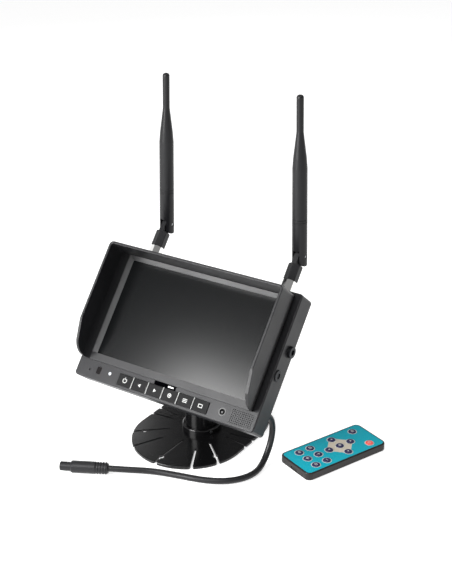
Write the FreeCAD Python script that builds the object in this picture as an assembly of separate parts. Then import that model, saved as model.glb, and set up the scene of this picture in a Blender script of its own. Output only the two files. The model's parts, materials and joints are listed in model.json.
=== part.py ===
import FreeCAD, Part
import math
import os

# Vehicle monitor on a fan-shaped dashboard stand, with a clip-on sun hood, two hinged antennas,
# a short pigtail lead and a card-shaped remote control.  Millimetres.
# Part frame: +Z up, origin on the post's axis at the underside of the fan base, screen facing -Y.
# Monitor frame (built upright, then tilted): +x right, +y up the screen, +z out of the screen,
# origin at the centre of the front face.

V = FreeCAD.Vector
X_AXIS, Y_AXIS, Z_AXIS = V(1, 0, 0), V(0, 1, 0), V(0, 0, 1)
FIT = 0.05  # radial clearance of every running fit
GAP = 0.2  # clearance between flat neighbours that move

# ---- driving dimensions -------------------------------------------------------------------------
# fan base and post
BASE_HALF_WIDTH = 50.5
BASE_END_OFFSET = 18.5  # centre of each rounded end, ahead of and behind the post
BASE_THICK = 2.4
SLOT_WIDTH, SLOT_WIDTH_AT_RIM = 1.4, 1.95
SLOTS = [(0, 27), (27.5, 38), (48.7, 28), (83.4, 28.4)]  # degrees from the front, inner radius
HOLE_RADIUS = 2.4
SIDE_HOLE_X, SIDE_HOLE_Y = 37.8, 33.6
END_HOLE_Y = 59.3
HUB_RADIUS, HUB_TOP = 17.0, 7.4
SPIGOT_RADIUS = 11.0
POST_RADIUS, POST_TOP = 14.0, 44.0

# tilt knuckle
HINGE_Z = 62.0  # height of the tilt axis
HINGE_Y_ON_SCREEN = -16.5  # where the tilt axis lies in the monitor frame
HINGE_BEHIND = 41.8
TILT = 40.0  # degrees that the screen leans back at rest
BOLT_RADIUS = 3.0
CHEEK_RADIUS, TONGUE_RADIUS = 10.0, 9.5
CHEEK_IN, CHEEK_OUT = 6.2, 12.2
TONGUE_HALF = 6.0
KNOB_RADIUS, KNOB_LENGTH, KNOB_LOBES = 12.5, 11.0, 6

# monitor
WIDTH, HEIGHT = 184.0, 119.0
SHELL_DEPTH, MONITOR_DEPTH = 18.2, 20.0
BULGE_DEPTH = 24.0
WALL = 2.0
FACE_THICK = 4.2
RECESS_DEPTH = 2.0  # seat of the hood's frame in the face
CORNER_RADIUS = 3.0
GLASS_HALF_WIDTH, GLASS_BOTTOM, GLASS_TOP = 77.8, -36.5, 51.0  # what shows of the glass
HOOD_HALF_WIDTH, HOOD_TOP, HOOD_BOTTOM = 87.5, 57.0, -43.2
HOOD_DEPTH, HOOD_WALL = 27.8, 2.3
HOOD_COVE, HOOD_COVE_HEIGHT = 2.8, 9.0  # how far and how high the side panels curve in at their root
HOOD_EDGE = [(-14.0, 27.8), (-33.0, 21.2), (-40.0, 14.4), (-43.0, 5.0)]  # y, z down the panels' cut-back lower front
LEDGE_WIDTH, LEDGE_DROP = 4.4, 1.6  # the frame's slope down to the glass

# controls in the lower face
KEY_PITCH, KEY_WIDTH, KEY_HEIGHT, KEY_Y = 15.6, 14.8, 10.2, -51.9
KEY_NAMES = ["key_power", "key_left", "key_right", "key_ok", "key_menu", "key_select"]
KEY_PROUD, KEY_TRAVEL = 0.8, 0.8
IR_AT, LED_AT, MIC_AT, SENSOR_AT = (-68.4, -50.5), (-56.6, -50.2), (-78.0, -51.9), (59.7, -50.7)
GRILLE_AT, GRILLE_SIZE, GRILLE_HOLES = (78.4, -51.2), (20.8, 12.2), (12, 8)
LATCH_HALF, LATCH_HEIGHT = 11.2, 3.8
COVER_SCREWS = [(-84, 51), (84, 51), (-50, -43.3), (50, -43.3)]
SIDE_SCREW_RADIUS = 5.0
SIDE_SCREWS = [(13.3, -13.0, 2.6), (-9.0, -6.7, 1.0)]  # y, z, how far the head stands out

# antennas
ANTENNA_X, ANTENNA_Z = 68.5, -14.5
NUT_FROM, SLEEVE_FROM, SLEEVE_TO, ELBOW_Y = 61.7, 71.0, 85.0, 93.8
SLEEVE_RADIUS, NUT_RADIUS = 6.3, 5.8  # over the corners
SWIVEL_AT_REST = {"left": 3.0, "right": -1.0}  # degrees that each antenna is turned on its nut
PIN_RADIUS = 1.5
BLADE = [(-8.5, 6.4), (10, 6.4), (76, 6.2), (85, 5.5), (94, 4.4), (106, 2.95), (136.2, 2.95)]  # distance from pin, radius

# lead
CABLE_DIAMETER = 5.3
GLAND_AT = (79.0, -38.0)
GLAND_LENGTH = 12.0
PLUG_DIRECTION = 207.2  # degrees
PLUG_AXIS_Z = 5.3
PLUG_BODY, PLUG_NOSE = 31.5, 9.5
PLUG_START = V(-23.3, -101.3, PLUG_AXIS_Z)
CABLE_ON_FLOOR = CABLE_DIAMETER / 2 + 0.1

# remote control
REMOTE_CENTRE, REMOTE_TURN = V(119.4, 24.9, 0), 68.5
REMOTE_LENGTH, REMOTE_WIDTH, REMOTE_THICK = 85.0, 39.5, 7.0
FACE_THICK_REMOTE, REMOTE_CORNER, REMOTE_RIM = 1.4, 5.0, 1.4
REMOTE_KEY_RADIUS, REMOTE_KEY_PROUD, REMOTE_TRAVEL = 3.3, 0.6, 0.4
ROW, COLUMN = 11.6, 11.3
REMOTE_KEYS = {
    "remote_key_mode": (2, 1), "remote_key_power": (2, -1),
    "remote_key_up": (1, 0), "remote_key_left": (0, 1), "remote_key_centre": (0, 0),
    "remote_key_right": (0, -1), "remote_key_down": (-1, 0),
    "remote_key_1": (-2, 1), "remote_key_2": (-2, 0), "remote_key_3": (-2, -1),
    "remote_key_4": (-3, 1), "remote_key_5": (-3, 0), "remote_key_6": (-3, -1),
}
KEYS_CENTRE = 6.8  # where the middle key sits along the remote


# ---- small helpers ------------------------------------------------------------------------------
def box(x0, x1, y0, y1, z0, z1):
    return Part.makeBox(x1 - x0, y1 - y0, z1 - z0, V(x0, y0, z0))


def rounded_box(x0, x1, y0, y1, z0, z1, radius):
    """A box whose four edges along z are rounded."""
    solid = box(x0, x1, y0, y1, z0, z1)
    return solid.makeFillet(radius, [e for e in solid.Edges if is_along(e, Z_AXIS)])


def cylinder(radius, start, end):
    along = end - start
    return Part.makeCylinder(radius, along.Length, start, along)


def is_along(edge, axis):
    if not isinstance(edge.Curve, (Part.Line, Part.LineSegment)):
        return False
    return abs(edge.tangentAt(edge.FirstParameter).dot(axis)) > 0.999


def fillet_where(solid, radius, test):
    """Round the edges whose middle passes the test."""
    chosen = [e for e in solid.Edges if test(e.valueAt((e.FirstParameter + e.LastParameter) / 2))]
    return solid.makeFillet(radius, chosen)


def polygon(points):
    return Part.Face(Part.makePolygon([*points, points[0]]))


def prism(corners, radius, start, end):
    """A regular prism along y, given the radius over its corners."""
    points = [V(radius * math.cos(a), start, radius * math.sin(a))
              for a in (2 * math.pi * (k + 0.5) / corners for k in range(corners))]
    return polygon(points).extrude(V(0, end - start, 0))


def revolve(profile, centre, axis):
    """Turn a closed outline of points round an axis."""
    return polygon(profile).revolve(centre, axis, 360)


def without_top_edge(solid, height, top):
    """Chamfer the edges in the plane z = top."""
    chosen = [e for e in solid.Edges if abs(e.BoundBox.ZMin - top) < 1e-6 and e.BoundBox.ZLength < 1e-6]
    return solid.makeChamfer(height, chosen)


# ---- frames -------------------------------------------------------------------------------------
def monitor_placement():
    turn = FreeCAD.Rotation(X_AXIS, 90 - TILT)
    hinge_on_screen = V(0, HINGE_Y_ON_SCREEN, -HINGE_BEHIND)
    return FreeCAD.Placement(V(0, 0, HINGE_Z) - turn.multVec(hinge_on_screen), turn)


def on_monitor(shape):
    """Carry a shape from the monitor frame to the part frame."""
    return moved(shape, monitor_placement())


def moved(shape, placement):
    result = shape.copy()
    result.Placement = placement.multiply(result.Placement)
    return result


def antenna_placement(side):
    """Antenna frame: origin on the elbow pin, +y away from the socket, pin along x."""
    x = -ANTENNA_X if side == "left" else ANTENNA_X
    turn = FreeCAD.Rotation(Y_AXIS, SWIVEL_AT_REST[side])
    return monitor_placement().multiply(FreeCAD.Placement(V(x, ELBOW_Y, ANTENNA_Z), turn))


def remote_placement():
    return FreeCAD.Placement(REMOTE_CENTRE, FreeCAD.Rotation(Z_AXIS, REMOTE_TURN))


# ---- fan base and post --------------------------------------------------------------------------
def base_outline(half_width, z):
    """A stadium: two half circles joined by straight sides."""
    reach = BASE_END_OFFSET
    front = Part.Arc(V(-half_width, -reach, z), V(0, -reach - half_width, z), V(half_width, -reach, z))
    right = Part.LineSegment(V(half_width, -reach, z), V(half_width, reach, z))
    back = Part.Arc(V(half_width, reach, z), V(0, reach + half_width, z), V(-half_width, reach, z))
    left = Part.LineSegment(V(-half_width, reach, z), V(-half_width, -reach, z))
    return Part.Face(Part.Wire([c.toShape() for c in (front, right, back, left)]))


def rim_distance(angle):
    """Distance from the post's axis to the rim, in a direction measured from the front."""
    across, ahead = math.sin(math.radians(angle)), abs(math.cos(math.radians(angle)))
    to_side = BASE_HALF_WIDTH / abs(across) if across else 1e9
    if to_side * ahead <= BASE_END_OFFSET:
        return to_side
    swing = BASE_END_OFFSET * across
    return BASE_END_OFFSET * ahead + math.sqrt(BASE_HALF_WIDTH ** 2 - swing ** 2)


def slot_cutter(angle, inner):
    """A radial slot that opens out between two rounded finger ends."""
    near, far, rim = SLOT_WIDTH / 2, SLOT_WIDTH_AT_RIM / 2, rim_distance(angle)
    top = BASE_THICK + 1
    sides = [(near, -inner), (far, 2.2 - rim), (far + 0.4, 0.9 - rim), (far + 1.9, -rim - 1)]
    outline = [V(x, y, -1) for x, y in sides] + [V(-x, y, -1) for x, y in reversed(sides)]
    cutter = polygon(outline).extrude(V(0, 0, top + 1))
    cutter = cutter.fuse(cylinder(near, V(0, -inner, -1), V(0, -inner, top)))
    cutter.rotate(V(0, 0, 0), Z_AXIS, angle)
    return cutter


def hub_screw_places():
    return [V(14.0 * math.cos(a), 14.0 * math.sin(a), 0) for a in (math.radians(60 + 120 * k) for k in range(3))]


def hub_screw(at, clearance):
    """A countersunk screw up through the base into the hub."""
    head = Part.makeCone(2.6 + clearance, 1.3 + clearance, 1.4, at + V(0, 0, 0.1))
    return head.fuse(cylinder(1.3 + clearance, at + V(0, 0, 1.4), at + V(0, 0, 6.2 + clearance)))


def fan_base():
    plate = base_outline(BASE_HALF_WIDTH, 0).extrude(V(0, 0, BASE_THICK))
    plate = fillet_where(plate, 0.8, lambda p: p.z > BASE_THICK - 0.01)
    for angle, inner in SLOTS:
        for turn in {angle, -angle, 180 - angle, 180 + angle}:
            plate = plate.cut(slot_cutter(turn, inner))
    holes = [V(sx * SIDE_HOLE_X, sy * SIDE_HOLE_Y, -1) for sx in (-1, 1) for sy in (-1, 1)]
    holes += [V(0, sy * END_HOLE_Y, -1) for sy in (-1, 1)]
    for at in holes:
        plate = plate.cut(cylinder(HOLE_RADIUS, at, at + V(0, 0, BASE_THICK + 2)))
    for at in hub_screw_places():
        plate = plate.cut(hub_screw(at, 0.05))
        plate = plate.cut(cylinder(2.65, at - V(0, 0, 1), at + V(0, 0, 0.11)))
    return plate


def lock_screw(clearance):
    """A grub screw through the hub's wall that stops the post from turning."""
    out = V(math.cos(math.radians(-25)), math.sin(math.radians(-25)), 0)
    height = V(0, 0, (BASE_THICK + HUB_TOP) / 2)
    screw = cylinder(1.5 + clearance, out * (SPIGOT_RADIUS + 0.3) + height, out * (HUB_RADIUS - 0.3) + height)
    if clearance:
        return screw.fuse(cylinder(1.5 + clearance, out * SPIGOT_RADIUS + height, out * (HUB_RADIUS + 1) + height))
    socket = cylinder(0.8, out * (HUB_RADIUS - 2) + height, out * HUB_RADIUS + height)
    return screw.cut(socket)


def post_hub():
    ring = cylinder(HUB_RADIUS, V(0, 0, BASE_THICK), V(0, 0, HUB_TOP))
    ring = fillet_where(ring, 1.2, lambda p: p.z > HUB_TOP - 0.01)
    ring = ring.cut(cylinder(SPIGOT_RADIUS + FIT, V(0, 0, 0), V(0, 0, HUB_TOP + 1)))
    for at in hub_screw_places():
        ring = ring.cut(cylinder(1.35, at + V(0, 0, BASE_THICK - 1), at + V(0, 0, 6.25)))
    return ring.cut(lock_screw(0.02))


def swivel_post():
    """The post with its spigot below and the two cheeks of the tilt knuckle above."""
    post = cylinder(POST_RADIUS, V(0, 0, HUB_TOP + GAP), V(0, 0, POST_TOP))
    post = fillet_where(post, 2.0, lambda p: p.z > POST_TOP - 0.01)
    post = post.fuse(cylinder(SPIGOT_RADIUS, V(0, 0, BASE_THICK + GAP), V(0, 0, HUB_TOP + 1)))
    for x0, x1 in ((-CHEEK_OUT, -CHEEK_IN), (CHEEK_IN, CHEEK_OUT)):
        cheek = box(x0, x1, -CHEEK_RADIUS, CHEEK_RADIUS, POST_TOP - 8, HINGE_Z)
        cheek = cheek.common(cylinder(POST_RADIUS - 0.5, V(0, 0, 0), V(0, 0, HINGE_Z)).fuse(
            box(-CHEEK_OUT, CHEEK_OUT, -CHEEK_RADIUS, CHEEK_RADIUS, POST_TOP, HINGE_Z)))
        cheek = cheek.fuse(cylinder(CHEEK_RADIUS, V(x0, 0, HINGE_Z), V(x1, 0, HINGE_Z)))
        post = post.fuse(cheek)
    post = post.cut(cylinder(BOLT_RADIUS + FIT, V(-20, 0, HINGE_Z), V(20, 0, HINGE_Z)))
    return post.removeSplitter()


def tilt_bolt():
    head_end, shaft_end = -CHEEK_OUT - 4.2, CHEEK_OUT + GAP + KNOB_LENGTH - 1.5
    bolt = cylinder(BOLT_RADIUS, V(-CHEEK_OUT - 1, 0, HINGE_Z), V(shaft_end, 0, HINGE_Z))
    head = cylinder(5.2, V(head_end, 0, HINGE_Z), V(-CHEEK_OUT - 0.05, 0, HINGE_Z))
    head = fillet_where(head, 0.6, lambda p: p.x < head_end + 0.01)
    socket = prism(6, 2.9, 0, 2.4)
    socket.rotate(V(0, 0, 0), Z_AXIS, -90)
    socket.translate(V(head_end, 0, HINGE_Z))
    return bolt.fuse(head).cut(socket)


def tilt_knob():
    """A lobed clamping knob on the bolt's free end."""
    start = CHEEK_OUT + GAP
    core = cylinder(KNOB_RADIUS, V(start + 3, 0, 0), V(start + KNOB_LENGTH, 0, 0))
    core = fillet_where(core, 1.2, lambda p: p.x > start + KNOB_LENGTH - 0.01 or p.x < start + 3.01)
    for k in range(KNOB_LOBES):
        angle = 2 * math.pi * (k + 0.5) / KNOB_LOBES
        middle = V(0, math.cos(angle), math.sin(angle)) * (KNOB_RADIUS + 2.4)
        core = core.cut(cylinder(4.6, middle + V(start, 0, 0), middle + V(start + KNOB_LENGTH + 1, 0, 0)))
    core = core.fuse(cylinder(7.0, V(start, 0, 0), V(start + 4, 0, 0)))
    core = core.cut(cylinder(BOLT_RADIUS + FIT, V(start - 1, 0, 0), V(start + KNOB_LENGTH - 1.2, 0, 0)))
    core.translate(V(0, 0, HINGE_Z))
    return core


def t_section(neck, wing, clearance, y0, y1):
    """The T that slides in the rear rail, or with a clearance the groove that takes it."""
    body = box(-wing - clearance, wing + clearance, y0, y1, -28.8 - clearance, -26.0 + clearance)
    return body.fuse(box(-neck - clearance, neck + clearance, y0, y1, -31.2, -28.5))


def mount_shoe():
    hinge = V(0, HINGE_Y_ON_SCREEN, -HINGE_BEHIND)
    shoe = t_section(7.0, 12.0, 0, -30.0, -3.0)
    block = box(-TONGUE_HALF, TONGUE_HALF, hinge.y - TONGUE_RADIUS, hinge.y + TONGUE_RADIUS, hinge.z, -30.9)
    shoe = shoe.fuse(block)
    shoe = shoe.fuse(cylinder(TONGUE_RADIUS, hinge - V(TONGUE_HALF, 0, 0), hinge + V(TONGUE_HALF, 0, 0)))
    shoe = shoe.cut(cylinder(BOLT_RADIUS + FIT, hinge - V(20, 0, 0), hinge + V(20, 0, 0)))
    return on_monitor(shoe.removeSplitter())


# ---- monitor ------------------------------------------------------------------------------------
def key_centre(index):
    return (index - 2.5) * KEY_PITCH


def front_shell():
    """The face and side walls in one moulding, open at the back."""
    x, y = WIDTH / 2, HEIGHT / 2
    shell = rounded_box(-x, x, -y, y, -SHELL_DEPTH, 0, CORNER_RADIUS)
    shell = fillet_where(shell, 1.2, lambda p: p.z > -0.01)
    shell = shell.cut(rounded_box(-x + WALL, x - WALL, -y + WALL, y - WALL, -SHELL_DEPTH - 1, -FACE_THICK, 1.5))
    seat = HOOD_HALF_WIDTH - HOOD_COVE + 0.15
    shell = shell.cut(rounded_box(-seat, seat, HOOD_BOTTOM - 0.15, HOOD_TOP + 0.15, -RECESS_DEPTH, 1, 0.2))
    shell = shell.cut(box(-GLASS_HALF_WIDTH - 1.2, GLASS_HALF_WIDTH + 1.2, GLASS_BOTTOM - 1.2, GLASS_TOP + 1.2, -9, 1))
    for side in (-1, 1):
        for at_y, at_z, _ in SIDE_SCREWS:
            boss = cylinder(3.6, V(side * (x - 1), at_y, at_z), V(side * (x - 7), at_y, at_z))
            shell = shell.fuse(boss.common(box(-x, x, -y, y, -SHELL_DEPTH, -1)))
    for at_x, at_y in COVER_SCREWS:
        shell = shell.fuse(cylinder(2.9, V(at_x, at_y, -SHELL_DEPTH), V(at_x, at_y, -FACE_THICK)))
    for index in range(len(KEY_NAMES)):
        half_w, half_h = KEY_WIDTH / 2 + 0.12, KEY_HEIGHT / 2 + 0.12
        middle = key_centre(index)
        shell = shell.cut(box(middle - half_w, middle + half_w, KEY_Y - half_h, KEY_Y + half_h, -9, 1))
    shell = shell.cut(rounded_box(-LATCH_HALF, LATCH_HALF, HOOD_BOTTOM - LATCH_HEIGHT, HOOD_BOTTOM + 2, -9, 1, 0.8))
    shell = shell.cut(rounded_box(IR_AT[0] - 2.3, IR_AT[0] + 2.3, IR_AT[1] - 3.2, IR_AT[1] + 3.2, -9, 1, 1.2))
    for (at_x, at_y), radius in ((LED_AT, 1.55), (MIC_AT, 0.8), (SENSOR_AT, 3.35)):
        shell = shell.cut(cylinder(radius, V(at_x, at_y, -9), V(at_x, at_y, 1)))
    gx, gy = GRILLE_SIZE[0] / 2, GRILLE_SIZE[1] / 2
    shell = shell.cut(box(GRILLE_AT[0] - gx, GRILLE_AT[0] + gx, GRILLE_AT[1] - gy, GRILLE_AT[1] + gy, -1.2, 1))
    shell = shell.cut(box(GRILLE_AT[0] - gx + 1, GRILLE_AT[0] + gx - 1,
                          GRILLE_AT[1] - gy + 0.8, GRILLE_AT[1] + gy - 0.8, -9, 1))
    for side in (-1, 1):
        for at_y, at_z, _ in SIDE_SCREWS:
            shell = shell.cut(cylinder(2.05, V(side * (x - 8), at_y, at_z), V(side * (x + 1), at_y, at_z)))
        shell = shell.cut(cylinder(3.65, V(side * ANTENNA_X, y - 5, ANTENNA_Z), V(side * ANTENNA_X, y + 1, ANTENNA_Z)))
    for at_x, at_y in COVER_SCREWS:
        shell = shell.cut(cylinder(1.3, V(at_x, at_y, -SHELL_DEPTH - 1), V(at_x, at_y, -SHELL_DEPTH + 8)))
    return on_monitor(shell)


def rear_cover():
    """The back plate, with a shallow raised field that carries the vents and the rail."""
    x, y = WIDTH / 2, HEIGHT / 2
    plate = rounded_box(-x, x, -y, y, -MONITOR_DEPTH, -SHELL_DEPTH, CORNER_RADIUS)
    plate = plate.makeChamfer(0.8, [e for e in plate.Edges if e.BoundBox.ZMax < -MONITOR_DEPTH + 1e-6])
    field = rounded_box(-66, 66, -36, 46, -BULGE_DEPTH, -SHELL_DEPTH, 6)
    field = field.makeChamfer(2.5, [e for e in field.Edges if e.BoundBox.ZMax < -BULGE_DEPTH + 1e-6])
    plate = plate.fuse(field)
    plate = plate.cut(rounded_box(-63, 63, -33, 43, -BULGE_DEPTH + WALL, -SHELL_DEPTH + 1, 4))
    for row in (22, 33):
        for k in range(9):
            middle = (k - 4) * 9.0
            plate = plate.cut(rounded_box(middle - 1.2, middle + 1.2, row - 4, row + 4, -BULGE_DEPTH - 1, -18, 1.19))
    for at_x, at_y in COVER_SCREWS:
        at = V(at_x, at_y, -MONITOR_DEPTH - 1)
        plate = plate.cut(cylinder(1.6, at, at + V(0, 0, 4)))
        plate = plate.cut(cylinder(3.0, at, at + V(0, 0, 1.6)))
    gland = V(GLAND_AT[0], GLAND_AT[1], -MONITOR_DEPTH - 1)
    plate = plate.cut(cylinder(4.05, gland, gland + V(0, 0, 4)))
    return on_monitor(plate.removeSplitter())


def screen_glass():
    pane = box(-GLASS_HALF_WIDTH - 1, GLASS_HALF_WIDTH + 1, GLASS_BOTTOM - 1, GLASS_TOP + 1, -3.2, -RECESS_DEPTH - 0.05)
    return on_monitor(pane)


def lcd_panel():
    panel = rounded_box(-80, 80, -40, 54, -9.0, -FACE_THICK - 0.05, 1.0)
    display = box(-76.5, 76.5, -35, 50, -FACE_THICK - 0.1, -3.3)
    return on_monitor(panel.fuse(display))


def main_board():
    board = rounded_box(-60, 60, -31, 41, -16.2, -14.6, 2)
    chips = [(-30, 10, 14), (8, 16, 10), (34, -12, 8), (-38, -16, 7)]
    for at_x, at_y, size in chips:
        half = size / 2
        board = board.fuse(box(at_x - half, at_x + half, at_y - half, at_y + half, -14.7, -12.8))
    board = board.fuse(box(-14, 14, 34, 40, -14.7, -10.5))
    return on_monitor(board)


def key_board():
    board = box(-72, 64, -57.0, -46.6, -9.6, -8.4)
    for index in range(len(KEY_NAMES)):
        middle = key_centre(index)
        board = board.fuse(box(middle - 3, middle + 3, KEY_Y - 3, KEY_Y + 3, -8.5, -6.6))
    return on_monitor(board)


def speaker():
    at_x, at_y = GRILLE_AT
    case = rounded_box(at_x - 9.2, at_x + 9.2, at_y - 5.6, at_y + 5.6, -12.0, -FACE_THICK - 0.1, 3)
    return on_monitor(case)


def speaker_grille():
    gx, gy = GRILLE_SIZE[0] / 2, GRILLE_SIZE[1] / 2
    plate = box(-gx, gx, -gy, gy, -1.2, 0)
    columns, rows = GRILLE_HOLES
    pitch_x, pitch_y = (GRILLE_SIZE[0] - 1.6) / (columns - 1), (GRILLE_SIZE[1] - 1.6) / (rows - 1)
    holes = [cylinder(0.43, V((i - (columns - 1) / 2) * pitch_x, (j - (rows - 1) / 2) * pitch_y, -2),
                      V((i - (columns - 1) / 2) * pitch_x, (j - (rows - 1) / 2) * pitch_y, 1))
             for i in range(columns) for j in range(rows)]
    plate = plate.cut(Part.makeCompound(holes))
    plate.translate(V(GRILLE_AT[0], GRILLE_AT[1], 0))
    return on_monitor(plate)


def status_led():
    at = V(LED_AT[0], LED_AT[1], 0)
    body = cylinder(1.5, at + V(0, 0, -8.3), at + V(0, 0, 0.1))
    return on_monitor(fillet_where(body, 0.6, lambda p: p.z > 0.09))


def ir_window():
    at_x, at_y = IR_AT
    return on_monitor(rounded_box(at_x - 2.25, at_x + 2.25, at_y - 3.15, at_y + 3.15, -2.4, -0.1, 1.1))


def light_sensor():
    """A dark ring round a small domed lens."""
    at = V(SENSOR_AT[0], SENSOR_AT[1], 0)
    ring = cylinder(3.3, at + V(0, 0, -5), at + V(0, 0, 0.1)).cut(cylinder(2.5, at + V(0, 0, -1.4), at + V(0, 0, 1)))
    dome = fillet_where(cylinder(2.2, at + V(0, 0, -1.6), at + V(0, 0, 0.4)), 1.6, lambda p: p.z > 0.39)
    return on_monitor(ring.fuse(dome))


def side_screws():
    """Socket-head screws that take a side bracket, two on each side."""
    screws = []
    for side in (-1, 1):
        for at_y, at_z, proud in SIDE_SCREWS:
            face = WIDTH / 2 + proud
            head = cylinder(SIDE_SCREW_RADIUS, V(WIDTH / 2 + 0.02, 0, 0), V(face, 0, 0))
            head = fillet_where(head, 0.45, lambda p: p.x > face - 0.01)
            socket = prism(6, 2.6, 0, 3)
            socket.rotate(V(0, 0, 0), Z_AXIS, -90)
            socket.translate(V(face - 0.75 * proud, 0, 0))
            screw = head.fuse(cylinder(2.0, V(WIDTH / 2 - 6.5, 0, 0), V(WIDTH / 2 + 0.1, 0, 0))).cut(socket)
            if side < 0:
                screw = screw.mirror(V(0, 0, 0), X_AXIS)
            screw.translate(V(0, at_y, at_z))
            screws.append(screw)
    return on_monitor(Part.makeCompound(screws))


def cover_screws():
    """Four cross-head screws that hold the back plate."""
    screws = []
    for at_x, at_y in COVER_SCREWS:
        at = V(at_x, at_y, 0)
        head = cylinder(2.9, at + V(0, 0, -MONITOR_DEPTH + 0.05), at + V(0, 0, -MONITOR_DEPTH + 0.58))
        screw = head.fuse(cylinder(1.25, at + V(0, 0, -MONITOR_DEPTH + 0.5), at + V(0, 0, -11)))
        for wide, tall in ((1.9, 0.35), (0.35, 1.9)):
            cross = box(-wide, wide, -tall, tall, -MONITOR_DEPTH - 1, -MONITOR_DEPTH + 0.4)
            cross.translate(at)
            screw = screw.cut(cross)
        screws.append(screw)
    return on_monitor(Part.makeCompound(screws))


def mount_rail():
    """The block on the back with a T-shaped groove, open at its lower end."""
    rail = rounded_box(-14.8, 14.8, -31.5, 3.5, -30.6, -BULGE_DEPTH - 0.02, 2)
    rail = rail.makeChamfer(0.8, [e for e in rail.Edges if e.BoundBox.ZMax < -30.6 + 1e-6])
    rail = rail.cut(t_section(7.0, 12.0, 0.25, -40, -3.0 + 0.25))
    return on_monitor(rail)


def cable_gland():
    """A tapered rubber strain relief that the lead leaves by."""
    at = V(GLAND_AT[0], GLAND_AT[1], 0)
    back = -MONITOR_DEPTH
    stages = [(4.0, 5.4, back + 2.4, back - 0.03), (5.4, 5.2, back - 0.03, back - 2.2)]
    gland = cylinder(4.0, at + V(0, 0, back - 0.5), at + V(0, 0, back + 2.6))
    gland = gland.fuse(cylinder(5.4, at + V(0, 0, back - 2.2), at + V(0, 0, back - 0.03)))
    tip = back - GLAND_LENGTH
    cone = Part.makeCone(CABLE_DIAMETER / 2 + 0.7, 4.6, GLAND_LENGTH - 2, at + V(0, 0, tip))
    gland = gland.fuse(cone)
    for k in range(3):
        depth = tip + 2.2 + 2.4 * k
        groove = cylinder(6, at + V(0, 0, depth), at + V(0, 0, depth + 0.8))
        groove = groove.cut(cylinder(CABLE_DIAMETER / 2 + 0.75, at + V(0, 0, depth - 1), at + V(0, 0, depth + 2)))
        gland = gland.cut(groove)
    return on_monitor(gland.cut(cylinder(CABLE_DIAMETER / 2 + 0.1, at + V(0, 0, tip - 1), at + V(0, 0, tip + 3))))


def antenna_sockets():
    """Two threaded radio sockets in the top wall."""
    sockets = []
    for side in (-1, 1):
        barrel = cylinder(3.1, V(0, HEIGHT / 2 - 7, 0), V(0, 69.5, 0))
        flange = prism(6, 5.3, HEIGHT / 2 + 0.02, NUT_FROM - 0.1)
        inner = cylinder(3.6, V(0, HEIGHT / 2 - 4.5, 0), V(0, HEIGHT / 2 + 0.1, 0))
        socket = barrel.fuse(flange).fuse(inner)
        socket.translate(V(side * ANTENNA_X, 0, ANTENNA_Z))
        sockets.append(socket)
    return on_monitor(Part.makeCompound(sockets))


def front_key(index):
    """A key cap with a stem that reaches the switch behind it."""
    middle = key_centre(index)
    half_w, half_h = KEY_WIDTH / 2, KEY_HEIGHT / 2
    cap = rounded_box(middle - half_w, middle + half_w, KEY_Y - half_h, KEY_Y + half_h, -FACE_THICK, KEY_PROUD, 0.6)
    cap = fillet_where(cap, 0.45, lambda p: p.z > KEY_PROUD - 0.01)
    stem = box(middle - 1.5, middle + 1.5, KEY_Y - 1.5, KEY_Y + 1.5, -5.7, -FACE_THICK + 0.1)
    return on_monitor(cap.fuse(stem))


# ---- sun hood -----------------------------------------------------------------------------------
def side_profile(inset, low, high):
    """The hood seen from above the screen, as a face in x and z: its side panels curve in at their root."""
    outer = HOOD_HALF_WIDTH - inset
    root = outer - HOOD_COVE
    bend = V(outer - HOOD_COVE * 0.35, 0, HOOD_COVE_HEIGHT * 0.45)
    right = [Part.LineSegment(V(root, 0, low), V(root, 0, 0)),
             Part.Arc(V(root, 0, 0), bend, V(outer, 0, HOOD_COVE_HEIGHT)),
             Part.LineSegment(V(outer, 0, HOOD_COVE_HEIGHT), V(outer, 0, high))]
    mirror_bend = V(-bend.x, 0, bend.z)
    left = [Part.LineSegment(V(-outer, 0, high), V(-outer, 0, HOOD_COVE_HEIGHT)),
            Part.Arc(V(-outer, 0, HOOD_COVE_HEIGHT), mirror_bend, V(-root, 0, 0)),
            Part.LineSegment(V(-root, 0, 0), V(-root, 0, low))]
    across = [Part.LineSegment(V(outer, 0, high), V(-outer, 0, high)),
              Part.LineSegment(V(-root, 0, low), V(root, 0, low))]
    return Part.Face(Part.Wire([c.toShape() for c in [*right, across[0], *left, across[1]]]))


def front_profile():
    """The hood seen from the side, as a face in y and z: its front edge is cut back towards the lower bar."""
    low, (start, shoulder, bend, foot) = -RECESS_DEPTH, [V(0, y, z) for y, z in HOOD_EDGE]
    edges = [Part.LineSegment(V(0, HOOD_BOTTOM, low), foot), Part.Arc(foot, bend, shoulder),
             Part.LineSegment(shoulder, start), Part.LineSegment(start, V(0, HOOD_TOP, HOOD_DEPTH)),
             Part.LineSegment(V(0, HOOD_TOP, HOOD_DEPTH), V(0, HOOD_TOP, low)),
             Part.LineSegment(V(0, HOOD_TOP, low), V(0, HOOD_BOTTOM, low))]
    return Part.Face(Part.Wire([c.toShape() for c in edges]))


def window_slope():
    """What is cut from the frame so that it slopes down to the glass on three sides."""
    wires = []
    for spread, z in ((0, -LEDGE_DROP), (LEDGE_WIDTH * 1.2, LEDGE_DROP * 0.2)):
        x, top = GLASS_HALF_WIDTH + spread, GLASS_TOP + spread
        corners = [V(-x, GLASS_BOTTOM, z), V(x, GLASS_BOTTOM, z), V(x, top, z), V(-x, top, z)]
        wires.append(Part.makePolygon([*corners, corners[0]]))
    return Part.makeLoft(wires, True, True)


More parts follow.
